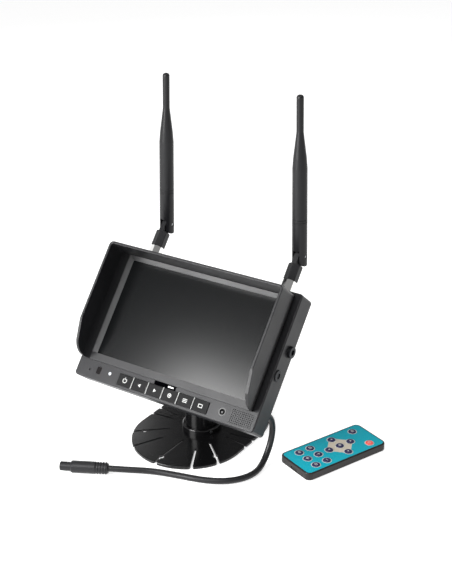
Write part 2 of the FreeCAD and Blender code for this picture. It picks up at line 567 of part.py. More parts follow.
def sun_hood():
    """A frame that seats in the face, two side panels and a top panel, open below."""
    sides = side_profile(0, -RECESS_DEPTH, HOOD_DEPTH + 1)
    sides.translate(V(0, HOOD_BOTTOM - 1, 0))
    outer = sides.extrude(V(0, HOOD_TOP - HOOD_BOTTOM + 2, 0))
    front = front_profile()
    front.translate(V(-HOOD_HALF_WIDTH - 1, 0, 0))
    outer = outer.common(front.extrude(V(2 * HOOD_HALF_WIDTH + 2, 0, 0)))
    rounded = rounded_box(-HOOD_HALF_WIDTH, HOOD_HALF_WIDTH, HOOD_BOTTOM - 8, HOOD_TOP,
                          -RECESS_DEPTH - 1, HOOD_DEPTH + 1, 4.0)
    outer = outer.common(rounded)
    inside = side_profile(HOOD_WALL, -1, HOOD_DEPTH + 2)
    inside.translate(V(0, HOOD_BOTTOM - 9, 0))
    hollow = inside.extrude(V(0, HOOD_TOP - HOOD_WALL - HOOD_BOTTOM + 9, 0))
    inner_width, inner_top = HOOD_HALF_WIDTH - HOOD_WALL, HOOD_TOP - HOOD_WALL
    hollow = hollow.common(rounded_box(-inner_width, inner_width, -70, inner_top, 0, 99, 2.0))
    hood = outer.cut(hollow).cut(window_slope())
    hood = hood.cut(box(-GLASS_HALF_WIDTH, GLASS_HALF_WIDTH, GLASS_BOTTOM, GLASS_TOP, -9, 9))
    hood = fillet_where(hood, 0.7, lambda p: p.z > HOOD_DEPTH - 0.01)
    return on_monitor(hood)


def hood_latch():
    """The sprung catch that shows in the notch below the hood's lower bar."""
    low, high = HOOD_BOTTOM - LATCH_HEIGHT + 1.0, HOOD_BOTTOM - 0.4
    tab = polygon([V(1.5, low, -5), V(1.5, high, -5), V(1.5, high, -1.2), V(1.5, low + 0.9, -1.2), V(1.5, low, -2.4)])
    tab = tab.extrude(V(LATCH_HALF - 2.1, 0, 0))
    return on_monitor(tab.fuse(box(-LATCH_HALF + 0.6, 2.0, low + 0.4, high - 0.3, -5.0, -3.6)))


# ---- antennas, in the antenna frame -------------------------------------------------------------
def antenna_nut(side):
    nut = prism(6, NUT_RADIUS, NUT_FROM - ELBOW_Y, SLEEVE_FROM - ELBOW_Y)
    blank = cylinder(NUT_RADIUS - 0.25, V(0, NUT_FROM - ELBOW_Y, 0), V(0, SLEEVE_FROM - ELBOW_Y, 0))
    blank = fillet_where(blank, 0.6, lambda p: True)
    nut = nut.common(blank.fuse(cylinder(NUT_RADIUS, V(0, NUT_FROM - ELBOW_Y + 0.8, 0),
                                         V(0, SLEEVE_FROM - ELBOW_Y - 0.8, 0))))
    bore = cylinder(3.1 + FIT, V(0, NUT_FROM - ELBOW_Y - 1, 0), V(0, SLEEVE_FROM - ELBOW_Y + 1, 0))
    return moved(nut.cut(bore), antenna_placement(side))


def antenna_sleeve(side):
    """A faceted grip with a flat tongue that the blade's fork straddles."""
    bottom, shoulder = SLEEVE_FROM - ELBOW_Y + 0.02, SLEEVE_TO - ELBOW_Y
    grip = prism(6, SLEEVE_RADIUS, bottom, shoulder)
    rounding = cylinder(SLEEVE_RADIUS - 0.15, V(0, bottom, 0), V(0, shoulder, 0))
    rounding = fillet_where(rounding, 0.9, lambda p: p.y > shoulder - 0.01)
    grip = grip.common(rounding)
    tongue = box(-2.2, 2.2, shoulder - 1, 0, -4.8, 4.8).fuse(cylinder(4.8, V(-2.2, 0, 0), V(2.2, 0, 0)))
    grip = grip.fuse(tongue).cut(cylinder(PIN_RADIUS, V(-9, 0, 0), V(9, 0, 0)))
    return moved(grip.removeSplitter(), antenna_placement(side))


def antenna_pin(side):
    return moved(cylinder(PIN_RADIUS, V(-5.7, 0, 0), V(5.7, 0, 0)), antenna_placement(side))


def antenna_blade(side):
    """The whip: a tapered round rod with two fine grooves and a fork round the tongue."""
    points = [V(0, BLADE[0][0], 0)] + [V(r, d, 0) for d, r in BLADE]
    profile = [Part.LineSegment(a, b) for a, b in zip(points, points[1:])]
    profile.append(Part.LineSegment(points[-1], V(0, BLADE[-1][0], 0)))
    profile.append(Part.LineSegment(V(0, BLADE[-1][0], 0), points[0]))
    whip = Part.Face(Part.Wire([c.toShape() for c in profile])).revolve(V(0, 0, 0), Y_AXIS, 360)
    whip = fillet_where(whip, 2.2, lambda p: p.y > BLADE[-1][0] - 0.01)
    for at in (30.0, 32.2):
        groove = cylinder(8, V(0, at, 0), V(0, at + 0.5, 0)).cut(cylinder(5.95, V(0, at - 1, 0), V(0, at + 2, 0)))
        whip = whip.cut(groove)
    reach = 8.3
    lower = box(-9, 9, -20, 0, -9, 9).cut(cylinder(reach, V(-9, 0, 0), V(9, 0, 0)))
    whip = whip.cut(lower)
    slot = box(-3.0, 3.0, -20, 0, -9, 9).fuse(cylinder(8.3, V(-3.0, 0, 0), V(3.0, 0, 0)))
    whip = whip.cut(slot).cut(cylinder(PIN_RADIUS + FIT, V(-9, 0, 0), V(9, 0, 0)))
    whip.rotate(V(0, 0, 0), X_AXIS, TILT)
    return moved(whip, antenna_placement(side))


# ---- lead ---------------------------------------------------------------------------------------
def cable_route():
    """Corner points of the lead, from the strain relief down to the floor and along it to the plug."""
    start = monitor_placement().multVec(V(GLAND_AT[0], GLAND_AT[1], -MONITOR_DEPTH - GLAND_LENGTH + 2))
    back = V(math.cos(math.radians(PLUG_DIRECTION)), math.sin(math.radians(PLUG_DIRECTION)), 0)
    floor = CABLE_ON_FLOOR
    return [
        start,
        V(79.0, -11.9, 43.9),
        V(78.5, -6.8, 31.4),
        V(77.8, -8.3, 18.0),
        V(77.6, -15.8, 7.0),
        V(78.8, -25.0, floor),
        V(80.6, -37.0, floor),
        V(76.8, -49.8, floor),
        V(66.3, -61.8, floor),
        V(50.0, -70.0, floor),
        V(28.0, -75.4, floor),
        V(7.0, -82.2, floor + 0.4),
        PLUG_START - back * 15 + V(0, 0, -0.2),
        PLUG_START,
    ]


def cable():
    """Straight runs joined by tangent arcs."""
    points = cable_route()
    edges, here, radii = [], points[0], []
    for before, corner, after in zip(points, points[1:], points[2:]):
        into, out = corner - before, after - corner
        shorter = min(into.Length, out.Length)
        half_turn = into.getAngle(out) / 2
        setback = 0.45 * shorter
        radii.append(setback / math.tan(half_turn))
        into.normalize()
        out.normalize()
        first, last = corner - into * setback, corner + out * setback
        inward = out - into
        inward.normalize()
        bulge = radii[-1] / math.cos(half_turn) - radii[-1]
        edges.append(Part.LineSegment(here, first).toShape())
        edges.append(Part.Arc(first, corner + inward * bulge, last).toShape())
        here = last
    edges.append(Part.LineSegment(here, points[-1]).toShape())
    path = Part.Wire(edges)
    heading = points[1] - points[0]
    section = Part.Wire(Part.makeCircle(CABLE_DIAMETER / 2, points[0], heading))
    tube = path.makePipeShell([section], True, False)
    area = math.pi * CABLE_DIAMETER ** 2 / 4
    print("lead: length %.1f, smallest radius %.1f, volume / (section x length) %.4f"
          % (path.Length, min(radii), tube.Volume / (area * path.Length)))
    return tube


def cable_plug():
    """An overmoulded barrel connector with grip ribs and a keyed nose."""
    body_end, nose_end = PLUG_BODY, PLUG_BODY + PLUG_NOSE
    outline = [V(0, 0, 0), V(3.9, 0, 0), V(4.4, 0.6, 0), V(4.6, 10, 0), V(5.2, 11, 0), V(5.2, body_end - 0.8, 0),
               V(4.6, body_end, 0), V(3.9, body_end, 0), V(3.9, nose_end - 0.4, 0), V(3.5, nose_end, 0),
               V(0, nose_end, 0)]
    plug = revolve(outline, V(0, 0, 0), Y_AXIS)
    for k in range(4):
        rib = cylinder(5.1, V(0, 1.4 + 2.3 * k, 0), V(0, 2.7 + 2.3 * k, 0))
        plug = plug.fuse(fillet_where(rib, 0.3, lambda p: True))
    plug = plug.cut(cylinder(3.0, V(0, nose_end - 7, 0), V(0, nose_end + 1, 0)))
    for k in range(4):
        angle = math.radians(45 + 90 * k)
        at = V(1.5 * math.cos(angle), 0, 1.5 * math.sin(angle))
        plug = plug.fuse(cylinder(0.45, at + V(0, nose_end - 7.5, 0), at + V(0, nose_end - 1.5, 0)))
    plug = plug.cut(box(-0.6, 0.6, nose_end - 6, nose_end + 1, 3.1, 5))
    turn = FreeCAD.Rotation(Z_AXIS, PLUG_DIRECTION - 90)
    return moved(plug, FreeCAD.Placement(PLUG_START, turn))


# ---- remote control, lying flat in its own frame ------------------------------------------------
def on_remote(shape):
    return moved(shape, remote_placement())


def remote_key_place(name):
    row, column = REMOTE_KEYS[name]
    return V(KEYS_CENTRE + row * ROW, column * COLUMN, 0)


def remote_shell():
    """The body: a tray with a raised rim round the face film."""
    x, y, ledge = REMOTE_LENGTH / 2, REMOTE_WIDTH / 2, REMOTE_THICK - FACE_THICK_REMOTE
    shell = rounded_box(-x, x, -y, y, 0, REMOTE_THICK, REMOTE_CORNER)
    shell = fillet_where(shell, 1.0, lambda p: p.z < 0.01 or p.z > REMOTE_THICK - 0.01)
    inset, wall = REMOTE_RIM - 0.05, 2.0
    shell = shell.cut(rounded_box(-x + inset, x - inset, -y + inset, y - inset, ledge, 9, REMOTE_CORNER - inset))
    shell = shell.cut(rounded_box(-x + wall, x - wall, -y + wall, y - wall, 0.8, 9, REMOTE_CORNER - wall))
    shell = shell.cut(box(-x - 1, -x + 3, -11.7, 11.7, 0.8, 3.75))
    return on_remote(shell.cut(cylinder(1.6, V(x - 3, 0, 3.0), V(x + 1, 0, 3.0))))


def remote_face():
    x, y, low = REMOTE_LENGTH / 2 - REMOTE_RIM, REMOTE_WIDTH / 2 - REMOTE_RIM, REMOTE_THICK - FACE_THICK_REMOTE
    face = rounded_box(-x, x, -y, y, low, REMOTE_THICK - 0.1, REMOTE_CORNER - REMOTE_RIM)
    for name in REMOTE_KEYS:
        at = remote_key_place(name)
        face = face.cut(cylinder(REMOTE_KEY_RADIUS + 0.1, at, at + V(0, 0, 9)))
    return on_remote(face)


def remote_key(name):
    at = remote_key_place(name)
    low, top = 5.0, REMOTE_THICK + REMOTE_KEY_PROUD
    cap = cylinder(REMOTE_KEY_RADIUS, at + V(0, 0, low), at + V(0, 0, top))
    cap = fillet_where(cap, 0.5, lambda p: p.z > top - 0.01)
    return on_remote(cap.fuse(cylinder(REMOTE_KEY_RADIUS + 0.5, at + V(0, 0, low), at + V(0, 0, low + 0.5))))


def remote_board():
    """The printed board with the infra-red emitter at its front end."""
    board = rounded_box(-40, 38, -17.5, 17.5, 3.85, 4.5, 3.0)
    front = REMOTE_LENGTH / 2
    emitter = cylinder(1.5, V(front - 5, 0, 3.0), V(front - 0.2, 0, 3.0))
    leads = box(front - 8, front - 4.5, -1.0, 1.0, 2.6, 4.0)
    return on_remote(board.fuse(emitter.fuse(leads)))


def battery_tray():
    """A drawer in the near end that holds the coin cell."""
    end = -REMOTE_LENGTH / 2
    tray = box(end, end + 24, -11.5, 11.5, 0.9, 3.65)
    tray = tray.cut(cylinder(10.1, V(end + 12.5, 0, 1.5), V(end + 12.5, 0, 4)))
    tray = tray.cut(box(end + 12.5, end + 25, -8, 8, 1.5, 4))
    nail = cylinder(1.2, V(end - 0.4, -4, 2.3), V(end - 0.4, 4, 2.3))
    return on_remote(tray.cut(nail))


def coin_cell():
    middle = V(-REMOTE_LENGTH / 2 + 12.5, 0, 0)
    cell = cylinder(10.0, middle + V(0, 0, 1.55), middle + V(0, 0, 3.15))
    return on_remote(fillet_where(cell, 0.3, lambda p: p.z > 3.1))


# ---- every sub-part -----------------------------------------------------------------------------
def all_parts():
    parts = {
        "fan_base": fan_base(),
        "post_hub": post_hub(),
        "hub_screws": Part.makeCompound([hub_screw(at, 0) for at in hub_screw_places()]),
        "pan_lock_screw": lock_screw(0),
        "swivel_post": swivel_post(),
        "tilt_bolt": tilt_bolt(),
        "tilt_knob": tilt_knob(),
        "mount_shoe": mount_shoe(),
        "front_shell": front_shell(),
        "rear_cover": rear_cover(),
        "screen_glass": screen_glass(),
        "lcd_panel": lcd_panel(),
        "main_board": main_board(),
        "key_board": key_board(),
        "speaker": speaker(),
        "speaker_grille": speaker_grille(),
        "status_led": status_led(),
        "ir_window": ir_window(),
        "light_sensor": light_sensor(),
        "side_screws": side_screws(),
        "cover_screws": cover_screws(),
        "mount_rail": mount_rail(),
        "cable_gland": cable_gland(),
        "antenna_sockets": antenna_sockets(),
        "sun_hood": sun_hood(),
        "hood_latch": hood_latch(),
        "cable": cable(),
        "cable_plug": cable_plug(),
        "remote_shell": remote_shell(),
        "remote_face": remote_face(),
        "remote_board": remote_board(),
        "battery_tray": battery_tray(),
        "coin_cell": coin_cell(),
    }
    for index, name in enumerate(KEY_NAMES):
        parts[name] = front_key(index)
    for side in ("left", "right"):
        parts["antenna_nut_" + side] = antenna_nut(side)
        parts["antenna_sleeve_" + side] = antenna_sleeve(side)
        parts["antenna_pin_" + side] = antenna_pin(side)
        parts["antenna_blade_" + side] = antenna_blade(side)
    for name in REMOTE_KEYS:
        parts[name] = remote_key(name)
    return parts


def main():
    os.makedirs("parts", exist_ok=True)
    for name, shape in all_parts().items():
        print("%-22s solids %d  volume %9.1f  valid %s" % (name, len(shape.Solids), shape.Volume, shape.isValid()))
        shape.exportStep("parts/%s.step" % name)


main()
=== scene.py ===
"""Looks for a wireless rear-view monitor kit: screen with sun hood and two antennas, fan-base stand,
pigtail lead and card remote control.  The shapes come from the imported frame; this file adds the lead's
soft tube, the printed marks, every finish, and the studio."""

import json
import math

import bpy
from mathutils import Matrix, Quaternion, Vector


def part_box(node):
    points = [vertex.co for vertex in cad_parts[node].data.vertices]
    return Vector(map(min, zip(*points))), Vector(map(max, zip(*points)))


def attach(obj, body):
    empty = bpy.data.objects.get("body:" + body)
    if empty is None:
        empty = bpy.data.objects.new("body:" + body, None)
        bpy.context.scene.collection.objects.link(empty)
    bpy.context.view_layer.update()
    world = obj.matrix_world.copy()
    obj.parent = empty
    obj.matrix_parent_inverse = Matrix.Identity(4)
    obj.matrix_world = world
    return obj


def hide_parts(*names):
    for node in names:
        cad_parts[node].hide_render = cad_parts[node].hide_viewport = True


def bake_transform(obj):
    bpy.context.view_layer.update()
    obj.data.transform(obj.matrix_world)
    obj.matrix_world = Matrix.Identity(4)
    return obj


bl_info = {
    "name": "Rear-view monitor kit",
    "version": (1, 0, 0),
    "blender": (4, 5, 0),
    "location": "View3D > Sidebar > Monitor kit",
    "description": "Finishes a rear-view monitor kit and sets up its studio",
    "category": "Object",
}

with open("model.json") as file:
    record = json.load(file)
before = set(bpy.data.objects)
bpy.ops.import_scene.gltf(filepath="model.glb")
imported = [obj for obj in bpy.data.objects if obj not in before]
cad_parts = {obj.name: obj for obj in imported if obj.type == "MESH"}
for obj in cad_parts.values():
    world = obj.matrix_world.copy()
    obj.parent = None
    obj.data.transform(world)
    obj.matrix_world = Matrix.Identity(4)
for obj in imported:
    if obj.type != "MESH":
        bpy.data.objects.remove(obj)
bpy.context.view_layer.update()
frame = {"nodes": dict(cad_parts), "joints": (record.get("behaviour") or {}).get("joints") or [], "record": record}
NODES = frame["nodes"]
JOINTS = {joint["name"]: joint for joint in frame["joints"]}
MM = 0.001

# The screen leans back 40 degrees, so the monitor frame (x right, y up the screen, z out of it, origin at
# the centre of the front face) is turned 50 degrees about the tilt axis.
HINGE = Vector(JOINTS["tilt"]["pos_m"])
FACE_TURN = math.radians(50)
FACE_FROM_HINGE = Vector((0, 16.5, 41.8))  # millimetres, in the monitor frame
SCREEN = (Matrix.Translation(HINGE) @ Matrix.Rotation(FACE_TURN, 4, "X")
          @ Matrix.Translation(FACE_FROM_HINGE * MM))

# The remote control lies on the floor.  Its frame has x along its long side, away from the battery drawer,
# and its origin on top of the face film.
DRAWER = Vector(JOINTS["battery_drawer_pull"]["axis"])
REMOTE_AT = (0.1194, 0.0249)
REMOTE = (Matrix.Translation((*REMOTE_AT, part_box("remote_face")[1][2]))
          @ Matrix.Rotation(math.atan2(-DRAWER.y, -DRAWER.x), 4, "Z"))

CAMERA_TARGET = Vector((0.0183, 0.0144, 0.1319))
LIGHTS = [  # name, where it is, what it faces, side of the square, watts
    ("screen softbox", (-0.36, -0.94, 0.53), (0.02, -0.02, 0.10), 0.60, 22.0),
    ("front fill", (0.22, -0.80, 1.05), (0.0, -0.02, 0.10), 0.40, 4.0),
    ("overhead", (0.15, 0.10, 1.60), (0.0, 0.0, 0.0), 1.4, 7.0),
    ("back panel", (-1.12, 0.92, 0.62), (-0.05, 0.0, 0.0), 0.45, 2.2),
]
FLOOR_SIZE, FLOOR_DROP = 14, 0.0004  # the floor lies a hair under the feet

KEY_MARKS = {
    "key_power": "power", "key_left": "arrow_left", "key_right": "arrow_right",
    "key_ok": "dot", "key_menu": "lines", "key_select": "frame",
}
KEY_PITCH, KEY_Y, KEY_FRONT = 15.6, -51.9, 0.8
KEY_MARK_SIZE = 4.2
# Light bars between the keys, in the light ink, are painted highlights along the gaps' edges.
RIB_WIDTH, RIB_LENGTH, RIB_HEIGHT = 0.36, 10.2, 0.85

# The pocket of the latch in the hood's lower strip holds a near-black sheet of painted shade, and the lip of the
# latch inside it is a white painted glint.
POCKET_AT, POCKET_SIZE, POCKET_DEPTH, POCKET_SHADE_SHEET = (0, -44.1), (22.2, 5.6), 0.9, 0.1
LIP_AT, LIP_SIZE, LIP_DEPTH, LIP_THICK = (5.6, -45.1), (5.6, 1.2), 0.6, 0.3

REMOTE_MARKS = {  # row and column in the key grid, and the mark that the key carries
    "mode": (2, 1, "lines"), "power": (2, -1, "power"),
    "up": (1, 0, "arrow_up"), "left": (0, 1, "arrow_left"), "centre": (0, 0, "dot"),
    "right": (0, -1, "arrow_right"), "down": (-1, 0, "arrow_down"),
    "1": (-2, 1, "frame"), "2": (-2, 0, "plus"), "3": (-2, -1, "minus"),
    "4": (-3, 1, "lines"), "5": (-3, 0, "dot"), "6": (-3, -1, "frame"),
}
REMOTE_ROW, REMOTE_COLUMN, REMOTE_MIDDLE = 11.6, 11.3, 6.8
REMOTE_KEY_TOP = 0.7
REMOTE_MARK_SIZE, REMOTE_MARK_LINE = 2.8, 0.42
REMOTE_RING_RADIUS, REMOTE_RING_WIDTH, REMOTE_RING_RISE = 4.15, 0.6, 0.03
DIAMOND_RADIUS, DIAMOND_HOLE = 14.2, 3.5
DIAMOND_KEYS = ("centre", "up", "down", "left", "right")

LEAD_ROUTE = [  # millimetres, from the strain relief to the plug
    (79.0, -22.86, 53.12),
    (79.0, -11.9, 43.9),
    (78.5, -6.8, 31.4),
    (77.8, -8.3, 18.0),
    (77.6, -15.8, 7.0),
    (78.8, -25.0, 2.75),
    (80.6, -37.0, 2.75),
    (76.8, -49.8, 2.75),
    (66.3, -61.8, 2.75),
    (50.0, -70.0, 2.75),
    (28.0, -75.4, 2.75),
    (7.0, -82.2, 3.15),
    (-9.96, -94.44, 5.1),
    (-23.3, -101.3, 5.3),
]


# ---- settings -----------------------------------------------------------------------------------
class KitLeadSettings(bpy.types.PropertyGroup):
    """Sizes of the pigtail lead."""

    diameter: bpy.props.FloatProperty(
        name="Diameter", description="Outside diameter of the lead's jacket", default=0.0053, min=0.003,
        max=0.009, subtype="DISTANCE", unit="LENGTH", precision=4)
    steps: bpy.props.IntProperty(
        name="Steps", description="Rings of faces between two points of the route", default=10, min=4, max=24)


class KitPrintSettings(bpy.types.PropertyGroup):
    """Sizes of the printed marks on the keys and the remote control."""

    line: bpy.props.FloatProperty(
        name="Line width", description="Width of a printed stroke on the monitor's keys", default=0.00055,
        min=0.0002, max=0.001, subtype="DISTANCE", unit="LENGTH", precision=5)
    thickness: bpy.props.FloatProperty(
        name="Ink thickness", description="How far the ink stands above its key", default=0.00004,
        min=0.00001, max=0.0002, subtype="DISTANCE", unit="LENGTH", precision=5)


class KitColourSettings(bpy.types.PropertyGroup):
    case: bpy.props.StringProperty(name="Case", description="Colour of the moulded case", default="#1d1d1f")
    stand: bpy.props.StringProperty(
        name="Stand", description="Colour of the polished stand", default="#0d0d0e")
    film: bpy.props.StringProperty(
        name="Remote film", description="Colour of the remote's face", default="#00a2b4")
    ink: bpy.props.StringProperty(name="Ink", description="Colour of the printed marks", default="#c9cac8")


class KitCameraSettings(bpy.types.PropertyGroup):
    """Where the camera stands."""

    azimuth: bpy.props.FloatProperty(
        name="Azimuth", description="Angle round the kit from its front", default=math.radians(34.30),
        subtype="ANGLE")
    elevation: bpy.props.FloatProperty(
        name="Elevation", description="Angle above the floor", default=math.radians(24.78), subtype="ANGLE")
    roll: bpy.props.FloatProperty(
        name="Roll", description="Turn about the line of sight", default=math.radians(-0.783),
        subtype="ANGLE")
    distance: bpy.props.FloatProperty(
        name="Distance", description="Distance from the point looked at", default=1.0, min=0.3, max=4.0,
        subtype="DISTANCE", unit="LENGTH")
    lens: bpy.props.FloatProperty(
        name="Lens", description="Focal length", default=73.3, min=20, max=200, subtype="DISTANCE_CAMERA")


SETTINGS = {
    "kit_lead": KitLeadSettings,
    "kit_print": KitPrintSettings,
    "kit_colours": KitColourSettings,
    "kit_camera": KitCameraSettings,
}


# ---- materials ----------------------------------------------------------------------------------
def linear(hex_colour):
    """Turn an sRGB hex value into linear RGBA."""
    values = [int(hex_colour[i:i + 2], 16) / 255 for i in (1, 3, 5)]
    return [v / 12.92 if v <= 0.04045 else ((v + 0.055) / 1.055) ** 2.4 for v in values] + [1.0]


def add_node(tree, kind, inputs=None, **settings):
    """Add a node, set its properties, and link or set its inputs."""
    node = tree.nodes.new(kind)
    for name, value in settings.items():
        setattr(node, name, value)
    for socket, value in (inputs or {}).items():
        if isinstance(value, bpy.types.NodeSocket):
            tree.links.new(value, node.inputs[socket])
        else:
            node.inputs[socket].default_value = value
    return node


def new_material(name, **shader_inputs):
    """A material with one Principled shader; returns the material, its tree and the shader."""
    material = bpy.data.materials.new(name)
    material.use_nodes = True
    tree = material.node_tree
    shader = tree.nodes["Principled BSDF"]
    for socket, value in shader_inputs.items():
        shader.inputs[socket.replace("_", " ")].default_value = value
    return material, tree, shader


def mixed_colour(tree, factor, first, second):
    """The colour socket of a mix between two colours."""
    mix = add_node(tree, "ShaderNodeMix", {"Factor": factor}, data_type="RGBA")
    for socket in mix.inputs:
        if socket.type == "RGBA":
            socket.default_value = first if socket.name == "A" else second
    return mix.outputs[2]


def moulded_plastic(name, colour, roughness, grain_mm, grain_depth, sheen=0.5):
    """Injection-moulded ABS from a spark-eroded tool: an even satin with a fine pebbled grain, and soft
    clouds of slightly different gloss where hands have polished it."""
    material, tree, shader = new_material(name, IOR=1.53, Specular_IOR_Level=sheen)
    place = add_node(tree, "ShaderNodeTexCoord").outputs["Object"]
    clouds = add_node(tree, "ShaderNodeTexNoise", {"Vector": place, "Scale": 38.0, "Detail": 3.0})
    gloss = add_node(tree, "ShaderNodeMapRange", {
        "Value": clouds.outputs["Fac"], "From Min": 0.3, "From Max": 0.7,
        "To Min": roughness - 0.05, "To Max": roughness + 0.06})
    tree.links.new(gloss.outputs["Result"], shader.inputs["Roughness"])
    base, worn = linear(colour), [min(1.0, c * 1.28) for c in linear(colour)[:3]] + [1.0]
    tint = mixed_colour(tree, clouds.outputs["Fac"], base, worn)
    tree.links.new(tint, shader.inputs["Base Color"])
    grain = add_node(tree, "ShaderNodeTexNoise", {
        "Vector": place, "Scale": 1 / (grain_mm * MM), "Detail": 2.0, "Roughness": 0.55})
    pebbles = add_node(tree, "ShaderNodeBump", {
        "Height": grain.outputs["Fac"], "Strength": 0.35, "Distance": grain_depth * MM})
    tree.links.new(pebbles.outputs["Normal"], shader.inputs["Normal"])
    return material


def polished_plastic(name, colour, roughness=0.09, sheen=0.5):
    """Gloss-black ABS from a polished tool: mirror gloss with the faint slow ripple of a moulded skin,
    and a scatter of dust specks that dull it."""
    material, tree, shader = new_material(name, IOR=1.53, Specular_IOR_Level=sheen, Base_Color=linear(colour))
    place = add_node(tree, "ShaderNodeTexCoord").outputs["Object"]
    dust = add_node(tree, "ShaderNodeTexNoise", {"Vector": place, "Scale": 900.0, "Detail": 1.0})
    specks = add_node(tree, "ShaderNodeMapRange", {
        "Value": dust.outputs["Fac"], "From Min": 0.66, "From Max": 0.82,
        "To Min": roughness, "To Max": roughness + 0.1})
    tree.links.new(specks.outputs["Result"], shader.inputs["Roughness"])
    ripple = add_node(tree, "ShaderNodeTexNoise", {"Vector": place, "Scale": 70.0, "Detail": 1.0})
    skin = add_node(tree, "ShaderNodeBump", {
        "Height": ripple.outputs["Fac"], "Strength": 0.15, "Distance": 0.05 * MM})
    tree.links.new(skin.outputs["Normal"], shader.inputs["Normal"])
    return material


def bright_metal(name, colour, roughness, marks_mm, metallic=1.0):
    """Plated or bare metal: fine turning marks across the piece break up the highlight."""
    material, tree, shader = new_material(name, Metallic=metallic, Base_Color=linear(colour))
    place = add_node(tree, "ShaderNodeTexCoord").outputs["Object"]
    marks = add_node(tree, "ShaderNodeTexNoise", {
        "Vector": place, "Scale": 1 / (marks_mm * MM), "Detail": 3.0})
    spread = add_node(tree, "ShaderNodeMapRange", {
        "Value": marks.outputs["Fac"], "To Min": roughness * 0.6, "To Max": roughness * 1.5})
    tree.links.new(spread.outputs["Result"], shader.inputs["Roughness"])
    scratches = add_node(tree, "ShaderNodeBump", {
        "Height": marks.outputs["Fac"], "Strength": 0.2, "Distance": 0.02 * MM})
    tree.links.new(scratches.outputs["Normal"], shader.inputs["Normal"])
    return material


def soft_rubber(name, colour):
    """Soft PVC, extruded and overmoulded: a dull sheen with a very fine matt drag."""
    material, tree, shader = new_material(name, IOR=1.52, Specular_IOR_Level=0.3, Base_Color=linear(colour))
    place = add_node(tree, "ShaderNodeTexCoord").outputs["Object"]
    drag = add_node(tree, "ShaderNodeTexNoise", {"Vector": place, "Scale": 420.0, "Detail": 4.0})
    dull = add_node(tree, "ShaderNodeMapRange", {
        "Value": drag.outputs["Fac"], "To Min": 0.30, "To Max": 0.44})
    tree.links.new(dull.outputs["Result"], shader.inputs["Roughness"])
    skin = add_node(tree, "ShaderNodeBump", {
        "Height": drag.outputs["Fac"], "Strength": 0.3, "Distance": 0.04 * MM})
    tree.links.new(skin.outputs["Normal"], shader.inputs["Normal"])
    return material


def screen_front(name):
    """Hard-coated anti-glare cover glass, black behind: a soft-edged mirror with a very fine sparkle."""
    material, tree, shader = new_material(
        name, IOR=1.52, Specular_IOR_Level=0.34, Base_Color=linear("#060708"))
    place = add_node(tree, "ShaderNodeTexCoord").outputs["Object"]
    etch = add_node(tree, "ShaderNodeTexNoise", {"Vector": place, "Scale": 2500.0, "Detail": 1.0})
    haze = add_node(tree, "ShaderNodeMapRange", {
        "Value": etch.outputs["Fac"], "To Min": 0.15, "To Max": 0.22})
    tree.links.new(haze.outputs["Result"], shader.inputs["Roughness"])
    return material


def printed_film(name, colour):
    """Screen-printed polycarbonate film: a flat even colour under a light satin texture."""
    material, tree, shader = new_material(name, IOR=1.58, Specular_IOR_Level=0.3)
    place = add_node(tree, "ShaderNodeTexCoord").outputs["Object"]
    mesh = add_node(tree, "ShaderNodeTexNoise", {"Vector": place, "Scale": 1400.0, "Detail": 1.0})
    pale, deep = linear(colour), [c * 0.86 for c in linear(colour)[:3]] + [1.0]
    ink = mixed_colour(tree, mesh.outputs["Fac"], pale, deep)
    tree.links.new(ink, shader.inputs["Base Color"])
    satin = add_node(tree, "ShaderNodeMapRange", {
        "Value": mesh.outputs["Fac"], "To Min": 0.34, "To Max": 0.46})
    tree.links.new(satin.outputs["Result"], shader.inputs["Roughness"])
    relief = add_node(tree, "ShaderNodeBump", {
        "Height": mesh.outputs["Fac"], "Strength": 0.15, "Distance": 0.03 * MM})
    tree.links.new(relief.outputs["Normal"], shader.inputs["Normal"])
    return material


